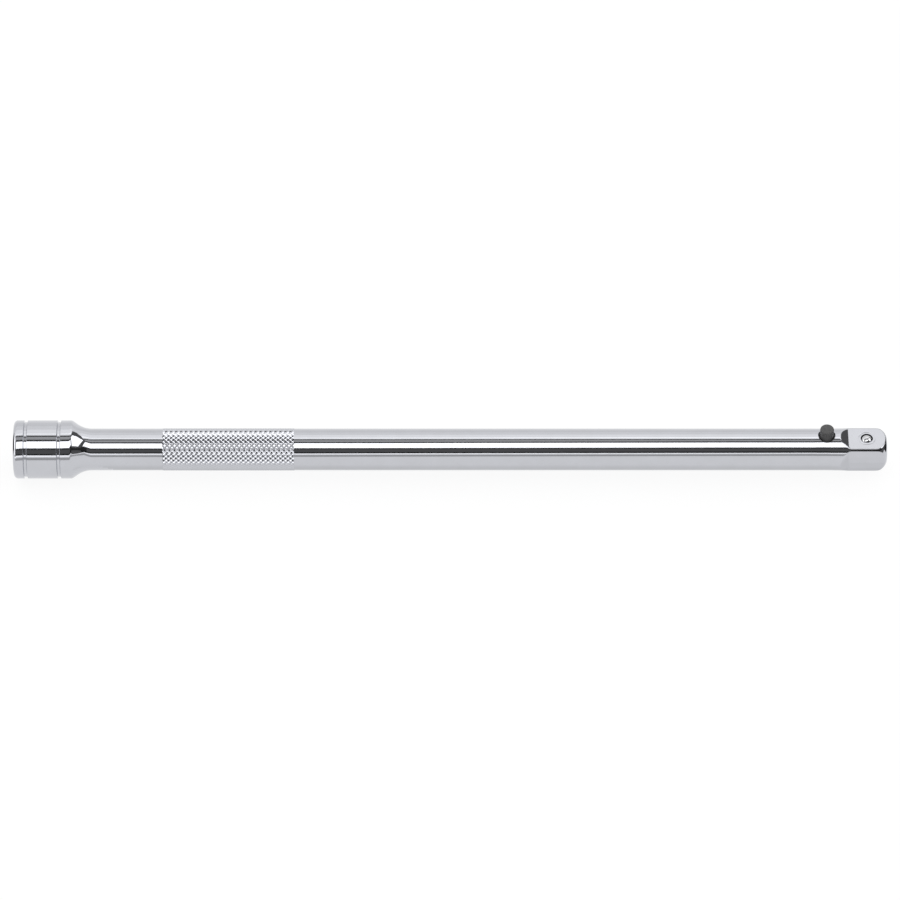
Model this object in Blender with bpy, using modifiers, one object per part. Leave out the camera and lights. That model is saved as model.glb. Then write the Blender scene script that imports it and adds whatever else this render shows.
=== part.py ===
"""Locking socket extension bar, in metres, lying along X with +Z up.

The bar rests on the rim of its socket end. The socket end is at -X and the square drive at +X.
The locking ball and the release button face +Z. Stations are measured from the socket's face.
"""

import math

import bmesh
import bpy

# Whole bar
LENGTH = 0.2540
ROUND_STEPS = 32
FINE_STEPS = 24
NECK_POINTS = 6
FILLET_POINTS = 4
BALL_POINTS = 13

# Fits shared by the pieces
RUNNING_CLEARANCE = 0.0001
PRESS_CLEARANCE = 0.00003
REST_GAP = 0.00007
END_CLEARANCE = 0.00015

# Socket end
SOCKET_RADIUS = 0.0085
SOCKET_EDGE_FILLET = 0.0011
SOCKET_SHOULDER_FILLET = 0.0015
GROOVE_STATIONS = (0.0035, 0.0132)
GROOVE_WIDTH = 0.0011
GROOVE_DEPTH = 0.0005
GROOVE_SIDE_DEPTH = 0.0004
SOCKET_SQUARE = 0.0096
SOCKET_DEPTH = 0.0125
SOCKET_MOUTH_CHAMFER = 0.0011
PILOT_BEYOND_SQUARE = 0.0020
PILOT_POINT_HEIGHT = 0.0028
DETENT_STATION = 0.0060
DETENT_DEPTH = 0.0007
DETENT_WIDTH = 0.0018

# Shank and grip
SHANK_RADIUS = 0.0061
NECK_END = 0.02255
NECK_FILLET = 0.0070
NECK_SLOPE = math.radians(35)
GRIP_START = 0.0433
GRIP_LENGTH = 0.0383
GRIP_RISE = 0.0001
GRIP_CHAMFER = 0.0003

# Square drive
DRIVE_SQUARE = 0.0095
DRIVE_CORNER_RADIUS = 0.0062
DRIVE_FLARE_LENGTH = 0.0060
DRIVE_LENGTH = 0.0110
RUNOUT_SLOPE = math.radians(27)
TIP_ROUND_LENGTH = 0.0024
TIP_ROUND_RADIUS = 0.0040
TIP_RADIUS = 0.0039
TIP_POINTS = 5

# Release button and its bush
PRESS_TRAVEL = 0.0016
BUTTON_FROM_TIP = 0.0176
BUTTON_RADIUS = 0.0020
BUTTON_STAND = 0.00285
BUTTON_DOME = 0.00015
BUTTON_EDGE_FILLET = 0.0004
FLANGE_THICKNESS = 0.0006
FLANGE_GAP = 0.00005
NOSE_RADIUS = 0.0017
NOSE_TIP_RADIUS = 0.0004
NOSE_REACH = 0.0004
BUSH_WALL = 0.0004
BUSH_RECESS = 0.0006
BUSH_LENGTH = 0.0012

# Locking ball
BALL_FROM_TIP = 0.0059
BALL_RADIUS = 0.001985
BALL_STAND = 0.0005
BALL_MOUTH_GAP = 0.00046
BALL_LIP = 0.00075

# Plunger, its spring and the plug that closes the bore
BORE_RADIUS = 0.00185
BORE_POINT_HEIGHT = 0.0011
PLUG_RADIUS = 0.0022
PLUG_LENGTH = 0.0015
PLUG_RECESS = 0.00025
PLUG_CHAMFER = 0.00025
PLUNGER_LENGTH = 0.0206
PLUNGER_CHAMFER = 0.0003
SPIGOT_RADIUS = 0.0010
SPIGOT_LENGTH = 0.0030
NOTCH_ROOM = 0.0004
SPRING_LENGTH = 0.0120
SPRING_COILS = 11
SPRING_WIRE = 0.00045
POINTS_PER_COIL = 10
LEAST_COIL_GAP = 0.0004

# What follows from the sizes above. The lowest facet of the socket rim lies on the plane z = 0.
AXIS_HEIGHT = SOCKET_RADIUS * math.cos(math.pi / ROUND_STEPS)
FLAT_HEIGHT = DRIVE_SQUARE / 2
FLAT_START = LENGTH - DRIVE_LENGTH
BUTTON_STATION = LENGTH - BUTTON_FROM_TIP
BALL_STATION = LENGTH - BALL_FROM_TIP
BALL_HEIGHT = FLAT_HEIGHT + BALL_STAND - BALL_RADIUS
BALL_TRAVEL = BALL_STAND
PLUG_END = LENGTH - PLUG_RECESS
PLUG_START = PLUG_END - PLUG_LENGTH
PLUNGER_RADIUS = BORE_RADIUS - RUNNING_CLEARANCE
PLUNGER_END = PLUG_START - END_CLEARANCE
PLUNGER_START = PLUNGER_END - PLUNGER_LENGTH
BORE_END = PLUNGER_START - SPRING_LENGTH
BUSH_HOLE_RADIUS = BUTTON_RADIUS + RUNNING_CLEARANCE
BUSH_RADIUS = BUSH_HOLE_RADIUS + BUSH_WALL
BUSH_TOP = SHANK_RADIUS - BUSH_RECESS
BUSH_FLOOR = BUSH_TOP - BUSH_LENGTH
FLANGE_TOP = BUSH_FLOOR - FLANGE_GAP
FLANGE_FLOOR = FLANGE_TOP - FLANGE_THICKNESS
FLANGE_RADIUS = BUSH_RADIUS - RUNNING_CLEARANCE
NOSE_TIP_HEIGHT = PLUNGER_RADIUS - NOSE_REACH
NOSE_FLOOR = NOSE_TIP_HEIGHT - PRESS_TRAVEL - NOTCH_ROOM
BALL_FLOOR = BALL_HEIGHT - BALL_RADIUS - BALL_TRAVEL - NOTCH_ROOM
BORE_CROSSING = BORE_RADIUS / 5

ALONG_BAR = (0, math.pi / 2, 0)
UPRIGHT = (0, 0, 0)
CUT_ALLOWANCE = 0.004
SMALL_CUT_ALLOWANCE = 0.0005


def at_station(station, height=0.0):
    """The place on the bar's middle plane at a station, at a height above the bar's axis."""
    return (station - LENGTH / 2, 0, AXIS_HEIGHT + height)


def clear_scene():
    for item in list(bpy.data.objects):
        bpy.data.objects.remove(item)


def new_collection(name):
    made = bpy.data.collections.new(name)
    bpy.context.scene.collection.children.link(made)
    return made


def metal(name, colour, roughness, metallic=1.0):
    made = bpy.data.materials.new(name)
    made.use_nodes = True
    shader = made.node_tree.nodes["Principled BSDF"]
    shader.inputs["Base Color"].default_value = (*colour, 1)
    shader.inputs["Roughness"].default_value = roughness
    shader.inputs["Metallic"].default_value = metallic
    return made


def arc(centre, radius, start, end, count):
    """Points (radius from axis, height) on an arc in the profile plane, from one angle to another."""
    steps = [start + (end - start) * index / (count - 1) for index in range(count)]
    return [(centre[0] + radius * math.cos(turn), centre[1] + radius * math.sin(turn)) for turn in steps]


def turned(name, profile, steps, place, direction, owner):
    """A solid of revolution. The profile runs down its outer side from its top, as (radius, height)."""
    half_step = math.pi / steps
    points = []
    for radius, height in profile:
        points.append((radius * math.cos(half_step), radius * math.sin(half_step), height))
    mesh = bpy.data.meshes.new(name)
    mesh.from_pydata(points, [(index, index + 1) for index in range(len(points) - 1)], [])
    piece = bpy.data.objects.new(name, mesh)
    piece.location = place
    piece.rotation_euler = direction
    owner.objects.link(piece)
    screw = piece.modifiers.new("Turn", "SCREW")
    screw.steps = steps
    screw.render_steps = steps
    screw.use_merge_vertices = True
    screw.merge_threshold = 0.00001
    screw.use_smooth_shade = True
    return piece


def prism(name, outline, half_width, place, roll, owner):
    """A solid with an (x, z) outline, reaching the same distance to both sides in y, rolled about x."""
    shape = bmesh.new()
    corners = [shape.verts.new((x, -half_width, z)) for x, z in outline]
    face = shape.faces.new(corners)
    swept = bmesh.ops.extrude_face_region(shape, geom=[face])
    moved = [item for item in swept["geom"] if isinstance(item, bmesh.types.BMVert)]
    bmesh.ops.translate(shape, verts=moved, vec=(0, 2 * half_width, 0))
    bmesh.ops.recalc_face_normals(shape, faces=shape.faces)
    mesh = bpy.data.meshes.new(name)
    shape.to_mesh(mesh)
    shape.free()
    piece = bpy.data.objects.new(name, mesh)
    piece.location = place
    piece.rotation_euler = (roll, 0, 0)
    owner.objects.link(piece)
    return piece


def cut(piece, cutter):
    cutter.hide_render = True
    cutter.display_type = "WIRE"
    boolean = piece.modifiers.new(cutter.name, "BOOLEAN")
    boolean.operation = "DIFFERENCE"
    boolean.solver = "EXACT"
    boolean.object = cutter


def finish(piece, material):
    piece.data.materials.append(material)


def tip_profile():
    """The rounded end of the drive, from its flat tip to its corners."""
    fall = DRIVE_CORNER_RADIUS - TIP_RADIUS
    middle = math.atan2(fall, TIP_ROUND_LENGTH)
    half_turn = math.asin(math.hypot(fall, TIP_ROUND_LENGTH) / (2 * TIP_ROUND_RADIUS))
    first = middle + half_turn
    centre_radius = TIP_RADIUS - TIP_ROUND_RADIUS * math.cos(first)
    centre_station = LENGTH - TIP_ROUND_RADIUS * math.sin(first)
    return arc((centre_radius, centre_station), TIP_ROUND_RADIUS, first, middle - half_turn, TIP_POINTS)


def socket_end_profile():
    """The outer side of the socket end, from the neck down to its face."""
    neck_centre = (SHANK_RADIUS + NECK_FILLET, NECK_END)
    neck = arc(neck_centre, NECK_FILLET, -math.pi, -math.pi + NECK_SLOPE, NECK_POINTS)
    slope_radius, slope_station = neck[-1]
    shoulder_radius = SOCKET_RADIUS - SOCKET_SHOULDER_FILLET
    rise = shoulder_radius + SOCKET_SHOULDER_FILLET * math.cos(NECK_SLOPE) - slope_radius
    shoulder_station = slope_station - rise / math.tan(NECK_SLOPE)
    shoulder_station -= SOCKET_SHOULDER_FILLET * math.sin(NECK_SLOPE)
    shoulder = arc((shoulder_radius, shoulder_station), SOCKET_SHOULDER_FILLET, NECK_SLOPE, 0, FILLET_POINTS)
    side = []
    for station in sorted(GROOVE_STATIONS, reverse=True):
        side += [
            (SOCKET_RADIUS, station + GROOVE_WIDTH / 2),
            (SOCKET_RADIUS - GROOVE_SIDE_DEPTH, station + GROOVE_WIDTH / 4),
            (SOCKET_RADIUS - GROOVE_DEPTH, station),
            (SOCKET_RADIUS - GROOVE_SIDE_DEPTH, station - GROOVE_WIDTH / 4),
            (SOCKET_RADIUS, station - GROOVE_WIDTH / 2),
        ]
    edge_centre = (SOCKET_RADIUS - SOCKET_EDGE_FILLET, SOCKET_EDGE_FILLET)
    edge = arc(edge_centre, SOCKET_EDGE_FILLET, 0, -math.pi / 2, FILLET_POINTS)
    return neck + shoulder + side + edge


def make_extension_bar(parts, cutters, material):
    tip_side = [
        (0, LENGTH),
        *tip_profile(),
        (DRIVE_CORNER_RADIUS, FLAT_START),
        (SHANK_RADIUS, FLAT_START - DRIVE_FLARE_LENGTH),
    ]
    grip_end = GRIP_START + GRIP_LENGTH
    grip_radius = SHANK_RADIUS + GRIP_RISE
    grip = [
        (SHANK_RADIUS, grip_end),
        (grip_radius, grip_end - GRIP_CHAMFER),
        (grip_radius, GRIP_START + GRIP_CHAMFER),
        (SHANK_RADIUS, GRIP_START),
    ]
    profile = tip_side + grip + socket_end_profile() + [(0, 0)]
    bar = turned("extension_bar", profile, ROUND_STEPS, at_station(0), ALONG_BAR, parts)
    finish(bar, material)

    outer = DRIVE_CORNER_RADIUS + CUT_ALLOWANCE
    runout = (outer - FLAT_HEIGHT) / math.tan(RUNOUT_SLOPE)
    reach = DRIVE_LENGTH + CUT_ALLOWANCE
    flat_outline = [(0, FLAT_HEIGHT), (reach, FLAT_HEIGHT), (reach, outer), (-runout, outer)]
    for index in range(4):
        name = f"drive_flat_cutter_{index + 1}"
        roll = index * math.pi / 2
        cut(bar, prism(name, flat_outline, outer, at_station(FLAT_START), roll, cutters))

    half_square = SOCKET_SQUARE / 2
    square_outline = [
        (-CUT_ALLOWANCE, -half_square),
        (SOCKET_DEPTH, -half_square),
        (SOCKET_DEPTH, half_square),
        (-CUT_ALLOWANCE, half_square),
    ]
    cut(bar, prism("socket_square_cutter", square_outline, half_square, at_station(0), 0, cutters))

    pilot_radius = half_square - RUNNING_CLEARANCE
    mouth_radius = half_square + SOCKET_MOUTH_CHAMFER
    detent_radius = half_square + DETENT_DEPTH
    detent_slope = detent_radius - pilot_radius
    pilot_depth = SOCKET_DEPTH + PILOT_BEYOND_SQUARE
    pilot_profile = [
        (0, pilot_depth + PILOT_POINT_HEIGHT),
        (pilot_radius, pilot_depth),
        (pilot_radius, DETENT_STATION + DETENT_WIDTH / 2 + detent_slope),
        (detent_radius, DETENT_STATION + DETENT_WIDTH / 2),
        (detent_radius, DETENT_STATION - DETENT_WIDTH / 2),
        (pilot_radius, DETENT_STATION - DETENT_WIDTH / 2 - detent_slope),
        (pilot_radius, mouth_radius - pilot_radius),
        (mouth_radius + SMALL_CUT_ALLOWANCE, -SMALL_CUT_ALLOWANCE),
        (0, -SMALL_CUT_ALLOWANCE),
    ]
    cut(bar, turned("socket_pilot_cutter", pilot_profile, ROUND_STEPS, at_station(0), ALONG_BAR, cutters))

    plug_seat = PLUG_RADIUS + PRESS_CLEARANCE
    bore_profile = [
        (0, LENGTH + CUT_ALLOWANCE),
        (plug_seat, LENGTH + CUT_ALLOWANCE),
        (plug_seat, PLUG_START),
        (BORE_RADIUS, PLUG_START),
        (BORE_RADIUS, BORE_END),
        (0, BORE_END - BORE_POINT_HEIGHT),
    ]
    cut(bar, turned("plunger_bore_cutter", bore_profile, FINE_STEPS, at_station(0), ALONG_BAR, cutters))

    # The hole narrows to a lip at the flat, which the ball can't pass.
    hole_radius = BALL_RADIUS + RUNNING_CLEARANCE
    mouth_of_ball = math.sqrt(BALL_STAND * (2 * BALL_RADIUS - BALL_STAND)) + BALL_MOUTH_GAP
    seat_taper = (hole_radius - mouth_of_ball) / BALL_LIP
    ball_profile = [
        (0, FLAT_HEIGHT + SMALL_CUT_ALLOWANCE),
        (mouth_of_ball - seat_taper * SMALL_CUT_ALLOWANCE, FLAT_HEIGHT + SMALL_CUT_ALLOWANCE),
        (hole_radius, FLAT_HEIGHT - BALL_LIP),
        (hole_radius, BORE_CROSSING),
        (0, BORE_CROSSING),
    ]
    cut(bar, turned("ball_seat_cutter", ball_profile, FINE_STEPS, at_station(BALL_STATION), UPRIGHT, cutters))

    bush_seat = BUSH_RADIUS + PRESS_CLEARANCE
    nose_hole = NOSE_RADIUS + RUNNING_CLEARANCE
    counterbore_floor = FLANGE_FLOOR - PRESS_TRAVEL - RUNNING_CLEARANCE
    button_profile = [
        (0, SHANK_RADIUS + CUT_ALLOWANCE),
        (bush_seat, SHANK_RADIUS + CUT_ALLOWANCE),
        (bush_seat, counterbore_floor),
        (nose_hole, counterbore_floor),
        (nose_hole, BORE_CROSSING),
        (0, BORE_CROSSING),
    ]
    place = at_station(BUTTON_STATION)
    cut(bar, turned("button_hole_cutter", button_profile, FINE_STEPS, place, UPRIGHT, cutters))


def make_bore_plug(parts, material):
    profile = [
        (0, PLUG_END),
        (PLUG_RADIUS - PLUG_CHAMFER, PLUG_END),
        (PLUG_RADIUS, PLUG_END - PLUG_CHAMFER),
        (PLUG_RADIUS, PLUG_START + PRESS_CLEARANCE),
        (0, PLUG_START + PRESS_CLEARANCE),
    ]
    plug = turned("bore_plug", profile, FINE_STEPS, at_station(0), ALONG_BAR, parts)
    finish(plug, material)


def make_lock_plunger(parts, cutters, material):
    spigot_end = PLUNGER_START - SPIGOT_LENGTH
    profile = [
        (0, PLUNGER_END),
        (PLUNGER_RADIUS - PLUNGER_CHAMFER, PLUNGER_END),
        (PLUNGER_RADIUS, PLUNGER_END - PLUNGER_CHAMFER),
        (PLUNGER_RADIUS, PLUNGER_START),
        (SPIGOT_RADIUS, PLUNGER_START),
        (SPIGOT_RADIUS, spigot_end + PLUNGER_CHAMFER),
        (SPIGOT_RADIUS - PLUNGER_CHAMFER, spigot_end),
        (0, spigot_end),
    ]
    plunger = turned("lock_plunger", profile, FINE_STEPS, at_station(0), ALONG_BAR, parts)
    finish(plunger, material)
    width = PLUNGER_RADIUS + SMALL_CUT_ALLOWANCE
    top = PLUNGER_RADIUS + SMALL_CUT_ALLOWANCE

    # The ball rests just clear of a ramp that lets it sink as the plunger slides back.
    slope = BALL_TRAVEL / PRESS_TRAVEL
    under_ball = BALL_HEIGHT - (BALL_RADIUS + REST_GAP) * math.hypot(1, slope)
    ball_reach = BALL_RADIUS + PRESS_TRAVEL
    ball_outline = [
        ((under_ball - top) / slope, top),
        ((under_ball - BALL_FLOOR) / slope, BALL_FLOOR),
        (ball_reach, BALL_FLOOR),
        (ball_reach, top),
    ]
    cut(plunger, prism("ball_notch_cutter", ball_outline, width, at_station(BALL_STATION), 0, cutters))

    # The button's 45 degree nose drives the plunger back along a ramp of the same slope.
    on_axis = NOSE_TIP_HEIGHT - NOSE_TIP_RADIUS - REST_GAP * math.sqrt(2)
    nose_reach = NOSE_RADIUS + PRESS_TRAVEL + RUNNING_CLEARANCE
    nose_outline = [
        (on_axis - top, top),
        (on_axis - NOSE_FLOOR, NOSE_FLOOR),
        (nose_reach, NOSE_FLOOR),
        (nose_reach, top),
    ]
    cut(plunger, prism("nose_notch_cutter", nose_outline, width, at_station(BUTTON_STATION), 0, cutters))


def make_plunger_spring(parts, material):
    """One open coil between the plunger's shoulder and the end of the bore. Its least gap is printed."""
    coil_radius = PLUNGER_RADIUS - SPRING_WIRE / 2
    first = BORE_END + SPRING_WIRE / 2 + RUNNING_CLEARANCE
    last = PLUNGER_START - SPRING_WIRE / 2 - RUNNING_CLEARANCE
    pitch = (last - first) / SPRING_COILS
    count = SPRING_COILS * POINTS_PER_COIL + 1
    curve = bpy.data.curves.new("plunger_spring", "CURVE")
    curve.dimensions = "3D"
    curve.bevel_depth = SPRING_WIRE / 2
    curve.bevel_resolution = 1
    curve.use_fill_caps = True
    spline = curve.splines.new("POLY")
    spline.points.add(count - 1)
    places = []
    for index in range(count):
        turn = 2 * math.pi * index / POINTS_PER_COIL
        along = first + pitch * index / POINTS_PER_COIL
        places.append((along, coil_radius * math.cos(turn), coil_radius * math.sin(turn)))
        spline.points[index].co = (*places[index], 1)
    spring = bpy.data.objects.new("plunger_spring", curve)
    spring.location = at_station(0)
    parts.objects.link(spring)
    finish(spring, material)

    apart = POINTS_PER_COIL // 2
    nearest = min(
        math.dist(places[one], places[other])
        for one in range(count)
        for other in range(one + apart, count)
    )
    coil_gap = nearest - SPRING_WIRE
    print(f"plunger_spring least gap to itself {coil_gap * 1000:.2f} mm, over {LEAST_COIL_GAP * 1000:.1f} mm")


def make_lock_ball(parts, material):
    profile = arc((0, 0), BALL_RADIUS, math.pi / 2, -math.pi / 2, BALL_POINTS)
    profile[0] = (0, BALL_RADIUS)
    profile[-1] = (0, -BALL_RADIUS)
    ball = turned("lock_ball", profile, FINE_STEPS, at_station(BALL_STATION, BALL_HEIGHT), UPRIGHT, parts)
    finish(ball, material)


def make_release_button(parts, material):
    top = SHANK_RADIUS + BUTTON_STAND
    edge_centre = (BUTTON_RADIUS - BUTTON_EDGE_FILLET, top - BUTTON_DOME - BUTTON_EDGE_FILLET)
    edge = arc(edge_centre, BUTTON_EDGE_FILLET, math.pi / 2, 0, FILLET_POINTS)
    profile = [
        (0, top),
        *edge,
        (BUTTON_RADIUS, FLANGE_TOP),
        (FLANGE_RADIUS, FLANGE_TOP),
        (FLANGE_RADIUS, FLANGE_FLOOR),
        (NOSE_RADIUS, FLANGE_FLOOR),
        (NOSE_RADIUS, NOSE_TIP_HEIGHT + NOSE_RADIUS - NOSE_TIP_RADIUS),
        (NOSE_TIP_RADIUS, NOSE_TIP_HEIGHT),
        (0, NOSE_TIP_HEIGHT),
    ]
    button = turned("release_button", profile, FINE_STEPS, at_station(BUTTON_STATION), UPRIGHT, parts)
    finish(button, material)


def make_button_bush(parts, cutters, material):
    place = at_station(BUTTON_STATION)
    profile = [(0, BUSH_TOP), (BUSH_RADIUS, BUSH_TOP), (BUSH_RADIUS, BUSH_FLOOR), (0, BUSH_FLOOR)]
    bush = turned("button_bush", profile, FINE_STEPS, place, UPRIGHT, parts)
    finish(bush, material)
    hole_profile = [
        (0, BUSH_TOP + CUT_ALLOWANCE),
        (BUSH_HOLE_RADIUS, BUSH_TOP + CUT_ALLOWANCE),
        (BUSH_HOLE_RADIUS, BUSH_FLOOR - CUT_ALLOWANCE),
        (0, BUSH_FLOOR - CUT_ALLOWANCE),
    ]
    cut(bush, turned("bush_hole_cutter", hole_profile, FINE_STEPS, place, UPRIGHT, cutters))


clear_scene()
part_group = new_collection("locking_extension_bar")
cutter_group = new_collection("cutters")

chrome = metal("chrome_plate", (0.56, 0.57, 0.58), 0.08)
bearing_steel = metal("bearing_steel", (0.58, 0.58, 0.60), 0.05)
ground_steel = metal("ground_steel", (0.50, 0.50, 0.51), 0.25)
spring_steel = metal("spring_steel", (0.42, 0.42, 0.43), 0.30)
black_oxide = metal("black_oxide", (0.05, 0.05, 0.052), 0.50)

make_extension_bar(part_group, cutter_group, chrome)
make_bore_plug(part_group, ground_steel)
make_lock_plunger(part_group, cutter_group, ground_steel)
make_plunger_spring(part_group, spring_steel)
make_lock_ball(part_group, bearing_steel)
make_release_button(part_group, black_oxide)
make_button_bush(part_group, cutter_group, black_oxide)
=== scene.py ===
"""Looks of the locking socket extension bar, in metres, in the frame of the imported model.

The bar lies along X with its socket end at -X and its square drive at +X. Stations are distances along
the bar from the socket's face, and heights are measured from the bar's axis.
"""

import math

import bmesh
import bpy
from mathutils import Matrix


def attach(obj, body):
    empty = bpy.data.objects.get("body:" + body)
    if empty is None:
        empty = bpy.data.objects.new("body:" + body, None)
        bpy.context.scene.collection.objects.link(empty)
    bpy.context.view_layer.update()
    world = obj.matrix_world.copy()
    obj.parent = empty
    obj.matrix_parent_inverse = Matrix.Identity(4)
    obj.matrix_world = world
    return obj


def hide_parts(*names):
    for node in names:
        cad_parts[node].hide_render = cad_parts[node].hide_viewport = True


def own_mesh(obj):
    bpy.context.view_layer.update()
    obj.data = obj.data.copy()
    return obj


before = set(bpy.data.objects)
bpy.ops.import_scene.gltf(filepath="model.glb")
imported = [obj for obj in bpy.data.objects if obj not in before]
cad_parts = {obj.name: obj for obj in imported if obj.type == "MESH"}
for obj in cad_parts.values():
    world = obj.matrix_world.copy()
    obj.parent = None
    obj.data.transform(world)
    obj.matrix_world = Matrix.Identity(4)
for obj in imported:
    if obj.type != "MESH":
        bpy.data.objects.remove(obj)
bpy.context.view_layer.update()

# Extension bar: one forged and turned length of chrome vanadium steel, polished and chrome plated.
# The socket is broached, the grip is rolled with a diamond knurl, the four drive flats are milled and
# run out into the shank, and the holes for the ball and the button are drilled from above.
LENGTH = 0.2540
SOCKET_RADIUS = 0.0085
SOLID_SIDES = 32
AXIS_HEIGHT = SOCKET_RADIUS * math.cos(math.pi / SOLID_SIDES)
SOCKET_EDGE_FILLET = 0.0011
SOCKET_EDGE_RINGS = 10
SOCKET_SHOULDER_FILLET = 0.0015
SHOULDER_RINGS = 10
GROOVE_STATIONS = (0.0035, 0.0132)
GROOVE_WIDTH = 0.0011
GROOVE_DEPTH = 0.0005
GROOVE_WALL = 0.35
GROOVE_RINGS = 23
SOCKET_HALF_SQUARE = 0.0048
SOCKET_CORNER_REACH = 0.0065
SOCKET_DEPTH = 0.0125
SOCKET_MOUTH_CHAMFER = 0.0011
PILOT_RADIUS = 0.0047
PILOT_END = 0.0145
PILOT_POINT = 0.0173
DETENT_STATION = 0.0060
DETENT_DEPTH = 0.0007
DETENT_WIDTH = 0.0018
SOCKET_WALL_RINGS = 4

SHANK_RADIUS = 0.0061
SHANK_RINGS = 8
NECK_END = 0.02255
NECK_FILLET = 0.0070
NECK_SLOPE = math.radians(35)
NECK_RINGS = 17
GRIP_START = 0.0433
GRIP_LENGTH = 0.0383
KNURL_DIVISIONS = 28
STEPS_PER_DIAMOND = 8
BAR_COLUMNS = KNURL_DIVISIONS * STEPS_PER_DIAMOND
KNURL_ROWS = 212
KNURL_PITCH = GRIP_LENGTH * STEPS_PER_DIAMOND / KNURL_ROWS
KNURL_CREST_RADIUS = 0.00612
KNURL_DEPTH = 0.00018
KNURL_CREST_SHARE = 0.5
KNURL_MARGINS = (0.0004, 0.0001)

FLAT_HEIGHT = 0.00475
DRIVE_CORNER_RADIUS = 0.0062
DRIVE_FLARE_LENGTH = 0.0060
FLAT_START = 0.2430
FLAT_RINGS = 16
RUNOUT_SLOPE = math.radians(27)
RUNOUT_FILLET = 0.00020
RUNOUT_LEAD = 0.0007
RUNOUT_LENGTH = 0.0030
RUNOUT_RINGS = 38
FLAT_EDGE_ROUNDING = 0.00020
TIP_ROUND_LENGTH = 0.0024
TIP_ROUND_RADIUS = 0.0040
TIP_ROUND_OVERRUN = 0.0005
TIP_ROUND_RINGS = 24
TIP_RADIUS = 0.0039
TIP_EDGE_FILLET = 0.0003
TIP_EDGE_RINGS = 6
RIDGE_CROWDING = 0.65

BORE_RADIUS = 0.00185
BORE_END = 0.2195
BORE_POINT = 0.2184
BORE_RINGS = 6
PLUG_SEAT_RADIUS = 0.00223
PLUG_START = 0.25225
PLUG_SEAT_CHAMFER = 0.0001

BUTTON_STATION = 0.2364
BUTTON_ZONE = 0.0035
BUTTON_RINGS = 13
BUSH_SEAT_RADIUS = 0.00253
NOSE_HOLE_RADIUS = 0.0018
COUNTERBORE_FLOOR = 0.00195
BALL_STATION = 0.2481
BALL_HOLE_RADIUS = 0.002085
BALL_MOUTH_RADIUS = 0.001777
BALL_LIP = 0.00075
STAKE_RING_RADIUS = 0.00238
STAKE_RING_WIDTH = 0.00034
STAKE_RING_DEPTH = 0.00005
HOLE_STEPS = 64
HOLE_TOP = 1.5 * SHANK_RADIUS
HOLE_BOTTOM = 0.0004
CREASE_ANGLE = 30


def evenly(first, last, count):
    """Values spaced evenly from first to last, both included."""
    return [first + (last - first) * index / (count - 1) for index in range(count)]


def between(first, last, share):
    """The value that lies a share of the way from first to last."""
    return first + (last - first) * share


def softer_least(one, other, rounding):
    """The lesser of two lengths, with the corner where they cross rounded over."""
    share = min(max(0.5 + 0.5 * (other - one) / rounding, 0), 1)
    return other + (one - other) * share - rounding * share * (1 - share)


def softer_most(one, other, rounding):
    """The greater of two lengths, with the corner where they cross rounded over."""
    return -softer_least(-one, -other, rounding)


def column_turns(crowding=0):
    """The angles of the bar's columns of points, which crowding brings nearer to the square's corners."""
    even = [2 * math.pi * column / BAR_COLUMNS for column in range(BAR_COLUMNS)]
    return [turn + crowding / 4 * math.sin(4 * turn) for turn in even]


def from_flat(turn):
    """The angle from the middle of the nearest side of the bar's squares."""
    return (turn + math.pi / 4) % (math.pi / 2) - math.pi / 4


def bar_ring(station, turns, radii):
    """A ring of points round the bar's axis, from their angles and radii."""
    ring = []
    for turn, radius in zip(turns, radii):
        across = radius * math.cos(turn)
        up = radius * math.sin(turn)
        ring.append((station - LENGTH / 2, across, AXIS_HEIGHT + up))
    return ring


def round_ring(station, radius, crowding=0):
    """A round ring of points about the bar's axis, or the one point on it where the radius is nothing."""
    if radius == 0:
        return [(station - LENGTH / 2, 0, AXIS_HEIGHT)]
    return bar_ring(station, column_turns(crowding), [radius] * BAR_COLUMNS)


def drive_ring(station, radius):
    """A ring of the drive end, with its four flats and their sloping run-outs taken off the round."""
    slope = (FLAT_START - station) * math.tan(RUNOUT_SLOPE)
    flat = FLAT_HEIGHT + softer_most(0, slope, RUNOUT_FILLET)
    turns = column_turns(RIDGE_CROWDING)
    sides = [flat / math.cos(from_flat(turn)) for turn in turns]
    return bar_ring(station, turns, [softer_least(radius, side, FLAT_EDGE_ROUNDING) for side in sides])


def square_ring(station, radius):
    """A ring inside the socket: the broached square, or the round of the pilot where that is wider."""
    turns = column_turns()
    sides = [min(SOCKET_HALF_SQUARE / math.cos(from_flat(turn)), SOCKET_CORNER_REACH) for turn in turns]
    return bar_ring(station, turns, [max(side, radius) for side in sides])


def even_turns(steps):
    """Angles spaced evenly round a full turn, starting half a step in."""
    return [2 * math.pi * (step + 0.5) / steps for step in range(steps)]


def new_piece(name, shape):
    """Makes a built shape an object of the scene, with its faces pointing outwards."""
    bmesh.ops.recalc_face_normals(shape, faces=shape.faces)
    mesh = bpy.data.meshes.new(name)
    shape.to_mesh(mesh)
    shape.free()
    piece = bpy.data.objects.new(name, mesh)
    bpy.context.scene.collection.objects.link(piece)
    return piece


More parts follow.
